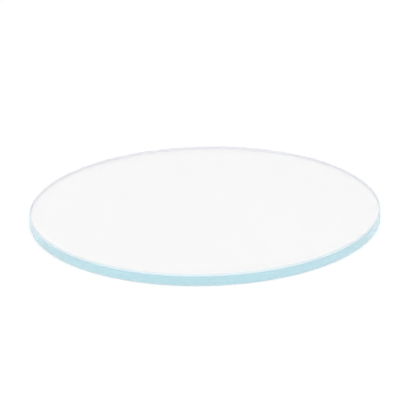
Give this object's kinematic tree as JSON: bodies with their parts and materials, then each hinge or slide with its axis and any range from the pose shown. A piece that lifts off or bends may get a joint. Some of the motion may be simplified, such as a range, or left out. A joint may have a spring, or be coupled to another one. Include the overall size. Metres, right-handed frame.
{
  "type": "watch crystal",
  "caption": "Flat round mineral glass for a wristwatch, with parallel polished faces, a ground cylindrical rim and a narrow bevel round each face.",
  "frame": {"origin": "centre of the dial-side face, on the crystal's axis, at the level that the crystal rests on", "axes": "+Z along the crystal's axis, from the dial side to the wearer's side; X and Y lie in the dial-side face and are equal, because the crystal is round"},
  "size_m": [0.03, 0.03, 0.001],
  "materials": {
    "mineral_glass": "polished"
  },
  "bodies": {
    "root": {"crystal": "mineral_glass"}
  },
  "joints": []
}
